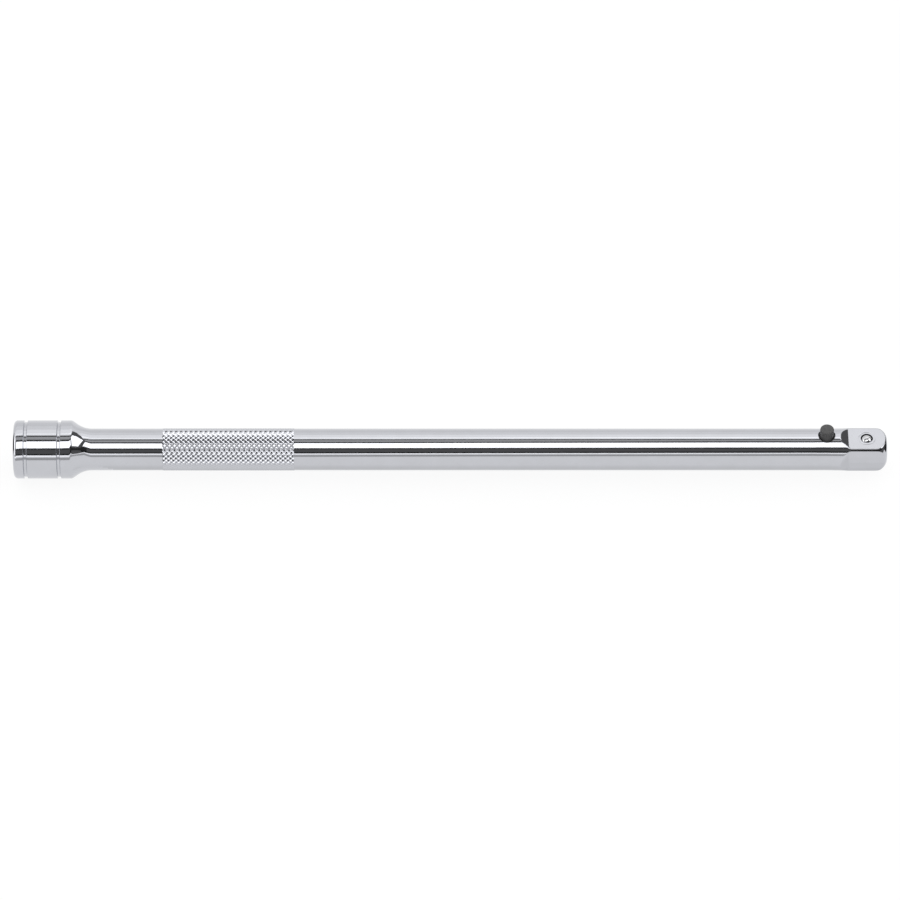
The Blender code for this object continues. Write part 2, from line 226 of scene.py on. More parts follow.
def skin(name, rings, closed=False, valley_rings=()):
    """A mesh over rings of points, each joined to the next. A ring of one point is a pole.

    The faces between the knurl's rings are split in two, in turn along the two ways that its valleys run.
    """
    shape = bmesh.new()
    made = [[shape.verts.new(point) for point in ring] for ring in rings]
    count = len(made)
    for index in range(count if closed else count - 1):
        ring = made[index]
        beyond = made[(index + 1) % count]
        for column in range(max(len(ring), len(beyond))):
            near = (column + 1) % max(len(ring), len(beyond))
            if len(ring) == 1:
                shape.faces.new((ring[0], beyond[near], beyond[column]))
            elif len(beyond) == 1:
                shape.faces.new((ring[column], ring[near], beyond[0]))
            elif index in valley_rings and (index - valley_rings[0] + column) % 2 == 1:
                shape.faces.new((ring[column], ring[near], beyond[column]))
                shape.faces.new((ring[near], beyond[near], beyond[column]))
            elif index in valley_rings:
                shape.faces.new((ring[column], ring[near], beyond[near]))
                shape.faces.new((ring[column], beyond[near], beyond[column]))
            else:
                shape.faces.new((ring[column], ring[near], beyond[near], beyond[column]))
    return new_piece(name, shape)


def turned_upright(name, profile, steps, station, closed=False):
    """A solid turned about an upright axis at a station, from (radius, height) points."""
    middle = station - LENGTH / 2
    rings = []
    for radius, height in profile:
        if radius == 0:
            rings.append([(middle, 0, AXIS_HEIGHT + height)])
            continue
        ring = []
        for turn in even_turns(steps):
            ring.append((middle + radius * math.cos(turn), radius * math.sin(turn), AXIS_HEIGHT + height))
        rings.append(ring)
    return skin(name, rings, closed)


def settle(piece):
    """Turns the piece and its modifiers into one plain mesh."""
    bpy.context.view_layer.update()
    graph = bpy.context.evaluated_depsgraph_get()
    mesh = bpy.data.meshes.new_from_object(piece.evaluated_get(graph))
    piece.modifiers.clear()
    mesh.name = piece.name
    piece.data = mesh


def carve(piece, cutters):
    """Cuts each cutter out of the piece, then removes the cutters."""
    for cutter in cutters:
        boolean = piece.modifiers.new(cutter.name, "BOOLEAN")
        boolean.operation = "DIFFERENCE"
        boolean.solver = "EXACT"
        boolean.object = cutter
    settle(piece)
    for cutter in cutters:
        bpy.data.objects.remove(cutter)


def shade(piece, degrees=CREASE_ANGLE):
    """Smooth shading that stays crisp on edges sharper than an angle."""
    piece.data.shade_smooth()
    piece.data.set_sharp_from_angle(angle=math.radians(degrees))


def outer_radius(station):
    """The turned radius of the drive end, which flares a little from the shank to the flats."""
    flare = (station - FLAT_START) / DRIVE_FLARE_LENGTH + 1
    return SHANK_RADIUS + (DRIVE_CORNER_RADIUS - SHANK_RADIUS) * min(max(flare, 0), 1)


round_start = LENGTH - TIP_ROUND_LENGTH
tip_fall = DRIVE_CORNER_RADIUS - TIP_RADIUS
half_turn = math.asin(math.hypot(tip_fall, TIP_ROUND_LENGTH) / (2 * TIP_ROUND_RADIUS))
tip_turn = math.atan2(tip_fall, TIP_ROUND_LENGTH) + half_turn
round_centre_radius = TIP_RADIUS - TIP_ROUND_RADIUS * math.cos(tip_turn)
round_centre_station = LENGTH - TIP_ROUND_RADIUS * math.sin(tip_turn)
tip_setback = TIP_EDGE_FILLET * math.tan((math.pi / 2 - tip_turn) / 2)
tip_side = []
for turn in evenly(math.pi / 2, tip_turn, TIP_EDGE_RINGS):
    station = LENGTH - TIP_EDGE_FILLET * (1 - math.sin(turn))
    tip_side.append((station, TIP_RADIUS - tip_setback + TIP_EDGE_FILLET * math.cos(turn)))
round_end = round_start - TIP_ROUND_OVERRUN
for station in evenly(tip_side[-1][0], round_end, TIP_ROUND_RINGS)[1:]:
    reach = math.sqrt(TIP_ROUND_RADIUS ** 2 - (station - round_centre_station) ** 2)
    radius = softer_least(DRIVE_CORNER_RADIUS, round_centre_radius + reach, TIP_EDGE_FILLET)
    tip_side.append((station, radius))

rings = [round_ring(BORE_POINT, 0)]
rings += [round_ring(station, BORE_RADIUS) for station in evenly(BORE_END, PLUG_START, BORE_RINGS)]
rings.append(round_ring(PLUG_START, PLUG_SEAT_RADIUS))
rings.append(round_ring(LENGTH - PLUG_SEAT_CHAMFER, PLUG_SEAT_RADIUS))
rings.append(round_ring(LENGTH, PLUG_SEAT_RADIUS + PLUG_SEAT_CHAMFER))
rings += [drive_ring(station, radius) for station, radius in tip_side]
runout_end = FLAT_START + RUNOUT_LEAD
runout_start = FLAT_START - RUNOUT_LENGTH
flat_stations = evenly(round_end, runout_end, FLAT_RINGS)[1:]
flat_stations += evenly(runout_end, runout_start, RUNOUT_RINGS)[1:]
rings += [drive_ring(station, outer_radius(station)) for station in flat_stations]

shank_start = GRIP_START + GRIP_LENGTH
button_zone_start = BUTTON_STATION - BUTTON_ZONE
shank_stations = evenly(runout_start, button_zone_start, BUTTON_RINGS)[1:]
shank_stations += evenly(button_zone_start, shank_start, SHANK_RINGS)[1:-1]
for station in shank_stations:
    crowding = RIDGE_CROWDING * (station - shank_start) / (FLAT_START - shank_start)
    rings.append(round_ring(station, outer_radius(station), crowding))
rings += [round_ring(shank_start + margin, SHANK_RADIUS) for margin in KNURL_MARGINS]

first_knurl_ring = len(rings)
for station in evenly(shank_start, GRIP_START, KNURL_ROWS + 1):
    rings.append(round_ring(station, SHANK_RADIUS))
knurl_rings = range(first_knurl_ring, len(rings) - 1)
rings += [round_ring(GRIP_START - margin, SHANK_RADIUS) for margin in reversed(KNURL_MARGINS)]

slope_station = NECK_END - NECK_FILLET * math.sin(NECK_SLOPE)
slope_radius = SHANK_RADIUS + NECK_FILLET * (1 - math.cos(NECK_SLOPE))
shoulder_radius = SOCKET_RADIUS - SOCKET_SHOULDER_FILLET
rise = shoulder_radius + SOCKET_SHOULDER_FILLET * math.cos(NECK_SLOPE) - slope_radius
slope_length = rise / math.tan(NECK_SLOPE)
shoulder_station = slope_station - slope_length - SOCKET_SHOULDER_FILLET * math.sin(NECK_SLOPE)
neck_side = []
for turn in evenly(0, NECK_SLOPE, NECK_RINGS):
    station = NECK_END - NECK_FILLET * math.sin(turn)
    neck_side.append((station, SHANK_RADIUS + NECK_FILLET * (1 - math.cos(turn))))
shoulder_side = []
for turn in evenly(NECK_SLOPE, 0, SHOULDER_RINGS):
    station = shoulder_station + SOCKET_SHOULDER_FILLET * math.sin(turn)
    shoulder_side.append((station, shoulder_radius + SOCKET_SHOULDER_FILLET * math.cos(turn)))
groove_side = []
for middle in sorted(GROOVE_STATIONS, reverse=True):
    for part in evenly(1, -1, GROOVE_RINGS):
        into_wall = min((1 - abs(part)) / GROOVE_WALL, 1)
        depth = GROOVE_DEPTH * (0.5 - 0.5 * math.cos(math.pi * into_wall))
        groove_side.append((middle + part * GROOVE_WIDTH / 2, SOCKET_RADIUS - depth))
edge_side = []
for turn in evenly(0, math.pi / 2, SOCKET_EDGE_RINGS):
    station = SOCKET_EDGE_FILLET * (1 - math.sin(turn))
    edge_side.append((station, SOCKET_RADIUS - SOCKET_EDGE_FILLET * (1 - math.cos(turn))))
socket_side = neck_side + shoulder_side + groove_side + edge_side
rings += [round_ring(station, radius) for station, radius in socket_side]

mouth_radius = SOCKET_HALF_SQUARE + SOCKET_MOUTH_CHAMFER
detent_radius = SOCKET_HALF_SQUARE + DETENT_DEPTH
detent_slope = detent_radius - PILOT_RADIUS
detent_half = DETENT_WIDTH / 2
socket_wall = [
    (0, mouth_radius),
    (mouth_radius - PILOT_RADIUS, PILOT_RADIUS),
    (DETENT_STATION - detent_half - detent_slope, PILOT_RADIUS),
    (DETENT_STATION - detent_half, detent_radius),
    (DETENT_STATION + detent_half, detent_radius),
    (DETENT_STATION + detent_half + detent_slope, PILOT_RADIUS),
    (SOCKET_DEPTH, PILOT_RADIUS),
]
for start, end in zip(socket_wall, socket_wall[1:]):
    for share in evenly(0, 1, SOCKET_WALL_RINGS)[:-1]:
        station = between(start[0], end[0], share)
        rings.append(square_ring(station, between(start[1], end[1], share)))
rings.append(square_ring(SOCKET_DEPTH, PILOT_RADIUS))
rings.append(round_ring(SOCKET_DEPTH, PILOT_RADIUS))
rings.append(round_ring(PILOT_END, PILOT_RADIUS))
rings.append(round_ring(PILOT_POINT, 0))

extension_bar = skin("extension_bar_finish", rings, valley_rings=knurl_rings)

CHROME_COLOUR = (0.548, 0.556, 0.590)
CHROME_COLOUR_WORN = (0.533, 0.541, 0.572)
CHROME_ROUGHNESS = (0.045, 0.085)
COLOUR_FADE = (0.35, 0.65)
VALUE_FADE = (0.3, 0.7)


def new_finish(name):
    """A material with its shader and a socket that gives the place on the piece."""
    material = bpy.data.materials.new(name)
    material.use_nodes = True
    place = material.node_tree.nodes.new("ShaderNodeTexCoord").outputs["Object"]
    return material, material.node_tree, material.node_tree.nodes["Principled BSDF"], place


def noise(tree, place, scale, detail, stretch=(1, 1, 1)):
    """Soft random variation at a scale, stretched along the axes, as a value from 0 to 1."""
    mapping = tree.nodes.new("ShaderNodeMapping")
    mapping.inputs["Scale"].default_value = stretch
    tree.links.new(place, mapping.inputs["Vector"])
    texture = tree.nodes.new("ShaderNodeTexNoise")
    texture.inputs["Scale"].default_value = scale
    texture.inputs["Detail"].default_value = detail
    tree.links.new(mapping.outputs["Vector"], texture.inputs["Vector"])
    return texture.outputs["Fac"]


def colour_between(tree, share, one, other):
    """A colour that goes from one to the other with a value."""
    ramp = tree.nodes.new("ShaderNodeValToRGB")
    for element, colour, position in zip(ramp.color_ramp.elements, (one, other), COLOUR_FADE):
        element.color = (*colour, 1)
        element.position = position
    tree.links.new(share, ramp.inputs["Fac"])
    return ramp.outputs["Color"]


def value_between(tree, share, one, other):
    """A number that goes from one to the other with a value."""
    spread = tree.nodes.new("ShaderNodeMapRange")
    spread.inputs["From Min"].default_value = VALUE_FADE[0]
    spread.inputs["From Max"].default_value = VALUE_FADE[1]
    spread.inputs["To Min"].default_value = one
    spread.inputs["To Max"].default_value = other
    tree.links.new(share, spread.inputs["Value"])
    return spread.outputs["Result"]


def relief(tree, height, strength, distance, under=None):
    """Fine relief on the surface, laid over any coarser relief under it."""
    bump = tree.nodes.new("ShaderNodeBump")
    bump.inputs["Strength"].default_value = strength
    bump.inputs["Distance"].default_value = distance
    tree.links.new(height, bump.inputs["Height"])
    if under:
        tree.links.new(under, bump.inputs["Normal"])
    return bump.outputs["Normal"]


chrome_plate, tree, shader, place = new_finish("chrome_plate")
shader.inputs["Metallic"].default_value = 1
cloud = noise(tree, place, scale=260, detail=3)
tree.links.new(colour_between(tree, cloud, CHROME_COLOUR_WORN, CHROME_COLOUR), shader.inputs["Base Color"])
smear = noise(tree, place, scale=700, detail=4, stretch=(0.4, 1, 1))
tree.links.new(value_between(tree, smear, *CHROME_ROUGHNESS), shader.inputs["Roughness"])
ripple = noise(tree, place, scale=500, detail=2, stretch=(0.5, 1, 1))
rippled = relief(tree, ripple, strength=0.06, distance=0.00002)
polish_lines = noise(tree, place, scale=9000, detail=2, stretch=(1, 0.05, 0.05))
polished = relief(tree, polish_lines, strength=0.03, distance=0.000004, under=rippled)
tree.links.new(polished, shader.inputs["Normal"])


def new_tree(name, inputs):
    """A node tree for meshes, with a socket for each named input, and its end nodes."""
    tree = bpy.data.node_groups.new(name, "GeometryNodeTree")
    tree.interface.new_socket("Geometry", in_out="INPUT", socket_type="NodeSocketGeometry")
    sockets = {}
    for label, kind in inputs:
        sockets[label] = tree.interface.new_socket(label, in_out="INPUT", socket_type=kind).identifier
    tree.interface.new_socket("Geometry", in_out="OUTPUT", socket_type="NodeSocketGeometry")
    start = tree.nodes.new("NodeGroupInput")
    realize = tree.nodes.new("GeometryNodeRealizeInstances")
    paint = tree.nodes.new("GeometryNodeSetMaterial")
    end = tree.nodes.new("NodeGroupOutput")
    tree.links.new(realize.outputs["Geometry"], paint.inputs["Geometry"])
    tree.links.new(start.outputs["Material"], paint.inputs["Material"])
    tree.links.new(paint.outputs["Geometry"], end.inputs["Geometry"])
    return tree, sockets, start, realize


def sum_of(tree, operation, one, other=None):
    """One step of arithmetic in a tree, on sockets or plain numbers."""
    step = tree.nodes.new("ShaderNodeMath")
    step.operation = operation
    for index, value in enumerate((one, other)):
        if isinstance(value, (int, float)):
            step.inputs[index].default_value = value
        elif value is not None:
            tree.links.new(value, step.inputs[index])
    return step.outputs["Value"]


def apply_tree(piece, tree, sockets, values):
    """Runs a tree on the piece with the given values, and keeps the result as its mesh."""
    modifier = piece.modifiers.new(tree.name, "NODES")
    modifier.node_group = tree
    for label, value in values.items():
        modifier[sockets[label]] = value
    settle(piece)


HALF_DIAMOND = 0.5
knurl_inputs = [
    ("Grip Start", "NodeSocketFloat"),
    ("Grip End", "NodeSocketFloat"),
    ("Plain Edge", "NodeSocketFloat"),
    ("Axis Height", "NodeSocketFloat"),
    ("Pitch", "NodeSocketFloat"),
    ("Divisions", "NodeSocketInt"),
    ("Crest Radius", "NodeSocketFloat"),
    ("Depth", "NodeSocketFloat"),
    ("Crest Share", "NodeSocketFloat"),
    ("Material", "NodeSocketMaterial"),
]
knurl, sockets, given, made = new_tree("Roll the knurl", knurl_inputs)
split = knurl.nodes.new("ShaderNodeSeparateXYZ")
knurl.links.new(knurl.nodes.new("GeometryNodeInputPosition").outputs["Position"], split.inputs["Vector"])
height = sum_of(knurl, "SUBTRACT", split.outputs["Z"], given.outputs["Axis Height"])
turn = sum_of(knurl, "ARCTAN2", height, split.outputs["Y"])
around = sum_of(knurl, "MULTIPLY", sum_of(knurl, "DIVIDE", turn, 2 * math.pi), given.outputs["Divisions"])
along = sum_of(knurl, "SUBTRACT", split.outputs["X"], given.outputs["Grip End"])
along = sum_of(knurl, "DIVIDE", along, given.outputs["Pitch"])
one_way = sum_of(knurl, "PINGPONG", sum_of(knurl, "ADD", along, around), HALF_DIAMOND)
other_way = sum_of(knurl, "PINGPONG", sum_of(knurl, "SUBTRACT", along, around), HALF_DIAMOND)
nearer = sum_of(knurl, "MINIMUM", one_way, other_way)
from_crest = sum_of(knurl, "SUBTRACT", 1, sum_of(knurl, "DIVIDE", nearer, HALF_DIAMOND))
past_crest = sum_of(knurl, "SUBTRACT", from_crest, given.outputs["Crest Share"])
past_crest = sum_of(knurl, "MAXIMUM", past_crest, 0)
wall_share = sum_of(knurl, "SUBTRACT", 1, given.outputs["Crest Share"])
fall = sum_of(knurl, "MULTIPLY", sum_of(knurl, "DIVIDE", past_crest, wall_share), given.outputs["Depth"])
rolled = sum_of(knurl, "SUBTRACT", given.outputs["Crest Radius"], fall)
radius_now = sum_of(knurl, "SQRT", sum_of(
    knurl, "ADD", sum_of(knurl, "MULTIPLY", height, height),
    sum_of(knurl, "MULTIPLY", split.outputs["Y"], split.outputs["Y"]),
))
growth = sum_of(knurl, "SUBTRACT", sum_of(knurl, "DIVIDE", rolled, radius_now), 1)
outward = knurl.nodes.new("ShaderNodeCombineXYZ")
knurl.links.new(sum_of(knurl, "MULTIPLY", split.outputs["Y"], growth), outward.inputs["Y"])
knurl.links.new(sum_of(knurl, "MULTIPLY", height, growth), outward.inputs["Z"])
first = sum_of(knurl, "ADD", given.outputs["Grip Start"], given.outputs["Plain Edge"])
last = sum_of(knurl, "SUBTRACT", given.outputs["Grip End"], given.outputs["Plain Edge"])
after_start = sum_of(knurl, "GREATER_THAN", split.outputs["X"], first)
before_end = sum_of(knurl, "LESS_THAN", split.outputs["X"], last)
move = knurl.nodes.new("GeometryNodeSetPosition")
knurl.links.new(given.outputs["Geometry"], move.inputs["Geometry"])
knurl.links.new(sum_of(knurl, "MULTIPLY", after_start, before_end), move.inputs["Selection"])
knurl.links.new(outward.outputs["Vector"], move.inputs["Offset"])
knurl.links.new(move.outputs["Geometry"], made.inputs["Geometry"])
apply_tree(extension_bar, knurl, sockets, {
    "Grip Start": GRIP_START - LENGTH / 2,
    "Grip End": shank_start - LENGTH / 2,
    "Plain Edge": KNURL_PITCH / STEPS_PER_DIAMOND / 2,
    "Axis Height": AXIS_HEIGHT,
    "Pitch": KNURL_PITCH,
    "Divisions": KNURL_DIVISIONS,
    "Crest Radius": KNURL_CREST_RADIUS,
    "Depth": KNURL_DEPTH,
    "Crest Share": KNURL_CREST_SHARE,
    "Material": chrome_plate,
})

seat_taper = (BALL_HOLE_RADIUS - BALL_MOUTH_RADIUS) / BALL_LIP
ball_hole = turned_upright("ball_hole", [
    (0, FLAT_HEIGHT + BALL_LIP),
    (BALL_MOUTH_RADIUS - seat_taper * BALL_LIP, FLAT_HEIGHT + BALL_LIP),
    (BALL_HOLE_RADIUS, FLAT_HEIGHT - BALL_LIP),
    (BALL_HOLE_RADIUS, HOLE_BOTTOM),
    (0, HOLE_BOTTOM),
], HOLE_STEPS, BALL_STATION)
button_hole = turned_upright("button_hole", [
    (0, HOLE_TOP),
    (BUSH_SEAT_RADIUS, HOLE_TOP),
    (BUSH_SEAT_RADIUS, COUNTERBORE_FLOOR),
    (NOSE_HOLE_RADIUS, COUNTERBORE_FLOOR),
    (NOSE_HOLE_RADIUS, HOLE_BOTTOM),
    (0, HOLE_BOTTOM),
], HOLE_STEPS, BUTTON_STATION)
stake_ring = turned_upright("stake_ring", [
    (STAKE_RING_RADIUS + STAKE_RING_WIDTH, FLAT_HEIGHT + STAKE_RING_DEPTH),
    (STAKE_RING_RADIUS, FLAT_HEIGHT - STAKE_RING_DEPTH),
    (STAKE_RING_RADIUS - STAKE_RING_WIDTH, FLAT_HEIGHT + STAKE_RING_DEPTH),
], HOLE_STEPS, BALL_STATION, closed=True)
carve(extension_bar, [ball_hole, button_hole, stake_ring])
shade(extension_bar)
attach(extension_bar, "bar")
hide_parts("extension_bar")

# Plunger spring: a small compression spring of drawn spring wire, coiled on a mandrel.
# It sits at the blind end of the bore and pushes the plunger towards the drive's tip.
SPRING_FIRST = 0.219825
SPRING_LAST = 0.231175
SPRING_COILS = 11
SPRING_RADIUS = 0.001525
SPRING_WIRE_RADIUS = 0.000225
SPRING_COLOUR = (0.40, 0.40, 0.41)
SPRING_COLOUR_DRAWN = (0.46, 0.455, 0.45)
SPRING_ROUGHNESS = (0.22, 0.36)
STEPS_PER_COIL = 36
WIRE_SIDES = 12
SPRING_CREASE_ANGLE = 40

spring_steel, tree, shader, place = new_finish("spring_steel")
shader.inputs["Metallic"].default_value = 1
draw_marks = noise(tree, place, scale=2600, detail=3)
drawn_colour = colour_between(tree, draw_marks, SPRING_COLOUR, SPRING_COLOUR_DRAWN)
tree.links.new(drawn_colour, shader.inputs["Base Color"])
tree.links.new(value_between(tree, draw_marks, *SPRING_ROUGHNESS), shader.inputs["Roughness"])
tree.links.new(relief(tree, draw_marks, strength=0.15, distance=0.00001), shader.inputs["Normal"])

spring_inputs = [
    ("Coils", "NodeSocketFloat"),
    ("Mean Radius", "NodeSocketFloat"),
    ("Wire Radius", "NodeSocketFloat"),
    ("Length", "NodeSocketFloat"),
    ("Start", "NodeSocketVector"),
    ("Material", "NodeSocketMaterial"),
]
coil, sockets, given, made = new_tree("Coil the spring", spring_inputs)
helix = coil.nodes.new("GeometryNodeCurveSpiral")
helix.inputs["Resolution"].default_value = STEPS_PER_COIL
coil.links.new(given.outputs["Coils"], helix.inputs["Rotations"])
coil.links.new(given.outputs["Mean Radius"], helix.inputs["Start Radius"])
coil.links.new(given.outputs["Mean Radius"], helix.inputs["End Radius"])
coil.links.new(given.outputs["Length"], helix.inputs["Height"])
wire = coil.nodes.new("GeometryNodeCurvePrimitiveCircle")
wire.inputs["Resolution"].default_value = WIRE_SIDES
coil.links.new(given.outputs["Wire Radius"], wire.inputs["Radius"])
draw = coil.nodes.new("GeometryNodeCurveToMesh")
draw.inputs["Fill Caps"].default_value = True
coil.links.new(helix.outputs["Curve"], draw.inputs["Curve"])
coil.links.new(wire.outputs["Curve"], draw.inputs["Profile Curve"])
lay = coil.nodes.new("GeometryNodeTransform")
lay.inputs["Rotation"].default_value = (0, math.pi / 2, 0)
coil.links.new(draw.outputs["Mesh"], lay.inputs["Geometry"])
coil.links.new(given.outputs["Start"], lay.inputs["Translation"])
coil.links.new(lay.outputs["Geometry"], made.inputs["Geometry"])
plunger_spring = skin("plunger_spring_finish", [])
apply_tree(plunger_spring, coil, sockets, {
    "Coils": float(SPRING_COILS),
    "Mean Radius": SPRING_RADIUS,
    "Wire Radius": SPRING_WIRE_RADIUS,
    "Length": SPRING_LAST - SPRING_FIRST,
    "Start": (SPRING_FIRST - LENGTH / 2, 0.0, AXIS_HEIGHT),
    "Material": spring_steel,
})
shade(plunger_spring, SPRING_CREASE_ANGLE)
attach(plunger_spring, "bar")
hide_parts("plunger_spring")
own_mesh(plunger_spring)

# Lock plunger: a ground steel pin that slides in the bore, with a spigot that carries the spring.
# One milled ramp lets the ball sink as the pin moves back, and a 45 degree ramp takes the button's nose.
PLUNGER_RADIUS = 0.00175
PLUNGER_START = 0.2315
PLUNGER_END = 0.2521
PLUNGER_CHAMFER = 0.0003
SPIGOT_RADIUS = 0.0010
SPIGOT_END = 0.2285
NOTCH_TOP = 0.00225
BALL_RAMP_SLOPE = 0.3125
BALL_RAMP_HEIGHT = 0.001112
BALL_NOTCH_FLOOR = 0.00038
BALL_NOTCH_REACH = 0.003585
NOSE_RAMP_HEIGHT = 0.000851
NOSE_NOTCH_FLOOR = -0.00065
NOSE_NOTCH_REACH = 0.0034
PIN_STEPS = 48
STEEL_COLOUR = (0.50, 0.50, 0.51)
STEEL_COLOUR_GROUND = (0.56, 0.56, 0.565)
STEEL_ROUGHNESS = (0.18, 0.32)


def turned_along(name, profile, steps):
    """A solid turned about the bar's axis, from (station, radius) points."""
    rings = []
    for station, radius in profile:
        if radius == 0:
            rings.append(round_ring(station, 0))
        else:
            rings.append(bar_ring(station, even_turns(steps), [radius] * steps))
    return skin(name, rings)


def notch(name, outline, station, half_width):
    """A cutter with an outline of (distance along, height), as wide to both sides of the bar's middle."""
    sides = []
    for across in (-half_width, half_width):
        sides.append([(station - LENGTH / 2 + along, across, AXIS_HEIGHT + up) for along, up in outline])
    shape = bmesh.new()
    near, far = [[shape.verts.new(point) for point in side] for side in sides]
    shape.faces.new(near)
    shape.faces.new(reversed(far))
    for index in range(len(outline)):
        beyond = (index + 1) % len(outline)
        shape.faces.new((near[index], near[beyond], far[beyond], far[index]))
    return new_piece(name, shape)


ground_steel, tree, shader, place = new_finish("ground_steel")
shader.inputs["Metallic"].default_value = 1
grind = noise(tree, place, scale=5200, detail=3, stretch=(1, 0.08, 0.08))
tree.links.new(colour_between(tree, grind, STEEL_COLOUR, STEEL_COLOUR_GROUND), shader.inputs["Base Color"])
tree.links.new(value_between(tree, grind, *STEEL_ROUGHNESS), shader.inputs["Roughness"])
tree.links.new(relief(tree, grind, strength=0.12, distance=0.000006), shader.inputs["Normal"])

lock_plunger = turned_along("lock_plunger_finish", [
    (PLUNGER_END, 0),
    (PLUNGER_END, PLUNGER_RADIUS - PLUNGER_CHAMFER),
    (PLUNGER_END - PLUNGER_CHAMFER, PLUNGER_RADIUS),
    (PLUNGER_START, PLUNGER_RADIUS),
    (PLUNGER_START, SPIGOT_RADIUS),
    (SPIGOT_END + PLUNGER_CHAMFER, SPIGOT_RADIUS),
    (SPIGOT_END, SPIGOT_RADIUS - PLUNGER_CHAMFER),
    (SPIGOT_END, 0),
], PIN_STEPS)
ball_notch = notch("ball_notch", [
    ((BALL_RAMP_HEIGHT - NOTCH_TOP) / BALL_RAMP_SLOPE, NOTCH_TOP),
    ((BALL_RAMP_HEIGHT - BALL_NOTCH_FLOOR) / BALL_RAMP_SLOPE, BALL_NOTCH_FLOOR),
    (BALL_NOTCH_REACH, BALL_NOTCH_FLOOR),
    (BALL_NOTCH_REACH, NOTCH_TOP),
], BALL_STATION, NOTCH_TOP)
nose_notch = notch("nose_notch", [
    (NOSE_RAMP_HEIGHT - NOTCH_TOP, NOTCH_TOP),
    (NOSE_RAMP_HEIGHT - NOSE_NOTCH_FLOOR, NOSE_NOTCH_FLOOR),
    (NOSE_NOTCH_REACH, NOSE_NOTCH_FLOOR),
    (NOSE_NOTCH_REACH, NOTCH_TOP),
], BUTTON_STATION, NOTCH_TOP)
lock_plunger.data.materials.append(ground_steel)
carve(lock_plunger, [ball_notch, nose_notch])
shade(lock_plunger)
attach(lock_plunger, "plunger")
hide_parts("lock_plunger")

# Lock ball: a hardened and lapped bearing ball that stands out of the upper flat to hold a socket.
# It is dropped in from the bore and kept by the lip of its hole, which is staked round its edge.
BALL_RADIUS = 0.001985
BALL_HEIGHT = 0.003265
BALL_STEPS = 96
BALL_ROWS = 49
BALL_COLOUR = (0.60, 0.605, 0.62)
BALL_COLOUR_RUBBED = (0.57, 0.575, 0.59)
BALL_ROUGHNESS = (0.02, 0.05)

bearing_steel, tree, shader, place = new_finish("bearing_steel")
shader.inputs["Metallic"].default_value = 1
lapping = noise(tree, place, scale=1800, detail=4)
tree.links.new(colour_between(tree, lapping, BALL_COLOUR_RUBBED, BALL_COLOUR), shader.inputs["Base Color"])
tree.links.new(value_between(tree, lapping, *BALL_ROUGHNESS), shader.inputs["Roughness"])

ball_profile = []
for turn in evenly(math.pi / 2, -math.pi / 2, BALL_ROWS):
    ball_profile.append((BALL_RADIUS * math.cos(turn), BALL_HEIGHT + BALL_RADIUS * math.sin(turn)))
ball_profile[0] = (0, BALL_HEIGHT + BALL_RADIUS)
ball_profile[-1] = (0, BALL_HEIGHT - BALL_RADIUS)
lock_ball = turned_upright("lock_ball_finish", ball_profile, BALL_STEPS, BALL_STATION)
lock_ball.data.materials.append(bearing_steel)
shade(lock_ball)
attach(lock_ball, "ball")
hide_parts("lock_ball")

# Release button: a turned steel pin finished in black oxide, with a rounded head for the thumb.
# Its flange is held under the bush, and its cone pushes the plunger back when it is pressed.
BUTTON_RADIUS = 0.0020
BUTTON_TOP = 0.00895
BUTTON_DOME = 0.00015
BUTTON_DOME_RINGS = 9
BUTTON_EDGE_FILLET = 0.0004
BUTTON_EDGE_RINGS = 10
FLANGE_RADIUS = 0.0024
FLANGE_TOP = 0.00425
FLANGE_FLOOR = 0.00365
NOSE_RADIUS = 0.0017
NOSE_TIP_RADIUS = 0.0004
NOSE_TIP_HEIGHT = 0.00135
BUTTON_STEPS = 72
BUTTON_CREASE_ANGLE = 35
OXIDE_COLOUR = (0.050, 0.050, 0.051)
OXIDE_COLOUR_RUBBED = (0.075, 0.074, 0.074)
OXIDE_ROUGHNESS = (0.38, 0.56)

black_oxide, tree, shader, place = new_finish("black_oxide")
shader.inputs["Metallic"].default_value = 0
mottle = noise(tree, place, scale=2200, detail=4)
tree.links.new(colour_between(tree, mottle, OXIDE_COLOUR, OXIDE_COLOUR_RUBBED), shader.inputs["Base Color"])
tree.links.new(value_between(tree, mottle, *OXIDE_ROUGHNESS), shader.inputs["Roughness"])
grain = noise(tree, place, scale=9000, detail=3)
tree.links.new(relief(tree, grain, strength=0.25, distance=0.00001), shader.inputs["Normal"])

button_profile = [(0, BUTTON_TOP)]
head_edge = BUTTON_RADIUS - BUTTON_EDGE_FILLET
for share in evenly(0, 1, BUTTON_DOME_RINGS)[1:-1]:
    button_profile.append((head_edge * share, BUTTON_TOP - BUTTON_DOME * share * share))
edge_middle = BUTTON_TOP - BUTTON_DOME - BUTTON_EDGE_FILLET
for turn in evenly(math.pi / 2, 0, BUTTON_EDGE_RINGS):
    rounded = head_edge + BUTTON_EDGE_FILLET * math.cos(turn)
    button_profile.append((rounded, edge_middle + BUTTON_EDGE_FILLET * math.sin(turn)))
button_profile += [
    (BUTTON_RADIUS, FLANGE_TOP),
    (FLANGE_RADIUS, FLANGE_TOP),
    (FLANGE_RADIUS, FLANGE_FLOOR),
    (NOSE_RADIUS, FLANGE_FLOOR),
    (NOSE_RADIUS, NOSE_TIP_HEIGHT + NOSE_RADIUS - NOSE_TIP_RADIUS),
    (NOSE_TIP_RADIUS, NOSE_TIP_HEIGHT),
    (0, NOSE_TIP_HEIGHT),
]
release_button = turned_upright("release_button_finish", button_profile, BUTTON_STEPS, BUTTON_STATION)
release_button.data.materials.append(black_oxide)
shade(release_button, BUTTON_CREASE_ANGLE)
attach(release_button, "button")
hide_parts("release_button")

